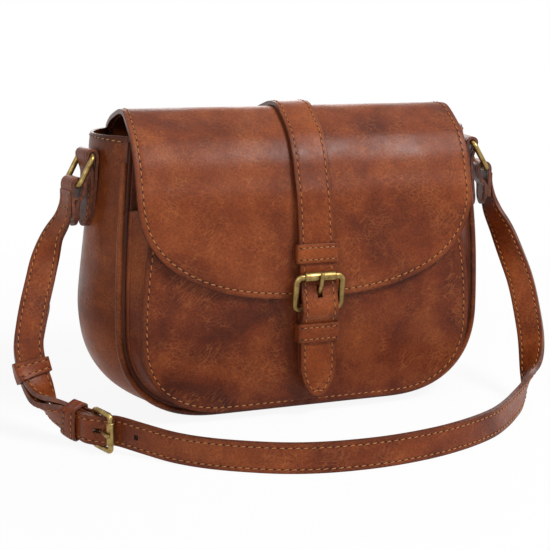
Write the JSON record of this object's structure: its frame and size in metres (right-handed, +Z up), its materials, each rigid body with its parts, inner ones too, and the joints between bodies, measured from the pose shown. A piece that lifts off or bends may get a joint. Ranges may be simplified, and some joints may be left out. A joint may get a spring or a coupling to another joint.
{
  "type": "crossbody bag",
  "caption": "Leather crossbody bag with a full flap over a front pocket, a buckled centre strap and an adjustable buckled shoulder strap hung from side rings.",
  "frame": {"origin": "middle of the bag's base, on the surface that it stands on", "axes": "+X to the bag's left-to-right as seen from the front, -Y out of the front with its flap and pocket, +Z up"},
  "size_m": [0.3789, 0.2222, 0.2122],
  "materials": {
    "body_leather": "oiled pull-up leather, cognac brown, soft sheen, painted edges and tan stitching",
    "strap_leather": "oiled strap leather, cognac brown, dark painted edges and tan stitching",
    "cotton_lining": "plain dark cotton twill",
    "antique_brass": "antique brass, satin, slightly worn"
  },
  "bodies": {
    "bag_body": {"back_panel": "body_leather", "front_panel": "body_leather", "main_gusset": "body_leather", "pocket_front": "body_leather", "pocket_gusset": "body_leather", "front_piping": "body_leather", "back_piping": "body_leather", "lining": "cotton_lining", "flap_yoke": "body_leather", "tab_left": "strap_leather", "tab_right": "strap_leather", "strap_loop_left": "strap_leather", "strap_loop_right": "strap_leather", "snap_socket": "antique_brass"},
    "flap": {"flap_panel": "body_leather", "centre_strap": "strap_leather", "flap_keeper": "strap_leather", "chape": "strap_leather", "chape_keeper": "strap_leather", "flap_buckle_frame": "antique_brass", "snap_stud": "antique_brass"},
    "flap_roller": {"flap_buckle_roller": "antique_brass"},
    "flap_prong": {"flap_buckle_prong": "antique_brass"},
    "left_ring": {"ring_left": "antique_brass"},
    "right_ring": {"ring_right": "antique_brass"},
    "shoulder_strap": {"short_strap": "strap_leather", "long_strap": "strap_leather", "fixed_keeper": "strap_leather", "strap_buckle_frame": "antique_brass"},
    "strap_roller": {"strap_buckle_roller": "antique_brass"},
    "strap_prong": {"strap_buckle_prong": "antique_brass"},
    "strap_keeper": {"sliding_keeper": "strap_leather"}
  },
  "joints": [
    {"name": "flap_opening", "type": "hinge", "parent": "bag_body", "child": "flap", "pos_m": [0, 0.0496, 0.187], "axis": [-1, 0, 0], "range_deg": [0, 165]},
    {"name": "flap_roller_turn", "type": "hinge", "parent": "flap", "child": "flap_roller", "pos_m": [0, -0.0751, 0.0994], "axis": [1, 0, 0], "continuous": true},
    {"name": "flap_prong_lift", "type": "hinge", "parent": "flap", "child": "flap_prong", "pos_m": [0, -0.0704, 0.0766], "axis": [1, 0, 0], "range_deg": [0, 5]},
    {"name": "left_ring_turn", "type": "hinge", "parent": "bag_body", "child": "left_ring", "pos_m": [-0.14219, -0.00915, 0.179], "axis": [0.225, -0.9744, 0], "range_deg": [0, 4]},
    {"name": "right_ring_turn", "type": "hinge", "parent": "bag_body", "child": "right_ring", "pos_m": [0.14226, -0.0088, 0.179], "axis": [0.1564, 0.9877, 0], "range_deg": [0, 4]},
    {"name": "strap_swing", "type": "hinge", "parent": "bag_body", "child": "shoulder_strap", "pos_m": [0, -0.00992, 0.147], "axis": [-1, 0, 0], "range_deg": [0, 250]},
    {"name": "strap_roller_turn", "type": "hinge", "parent": "shoulder_strap", "child": "strap_roller", "pos_m": [-0.14801, -0.0993, 0.01385], "axis": [-0.0148, 0.0078, -0.9999], "continuous": true},
    {"name": "strap_prong_lift", "type": "hinge", "parent": "shoulder_strap", "child": "strap_prong", "pos_m": [-0.15504, -0.08195, 0.01409], "axis": [-0.0148, 0.0078, -0.9999], "range_deg": [0, 4]},
    {"name": "keeper_slide", "type": "slide", "parent": "shoulder_strap", "child": "strap_keeper", "axis": [0.2251, -0.3588, -0.9059], "range_m": [-0.001, 0.001]}
  ]
}
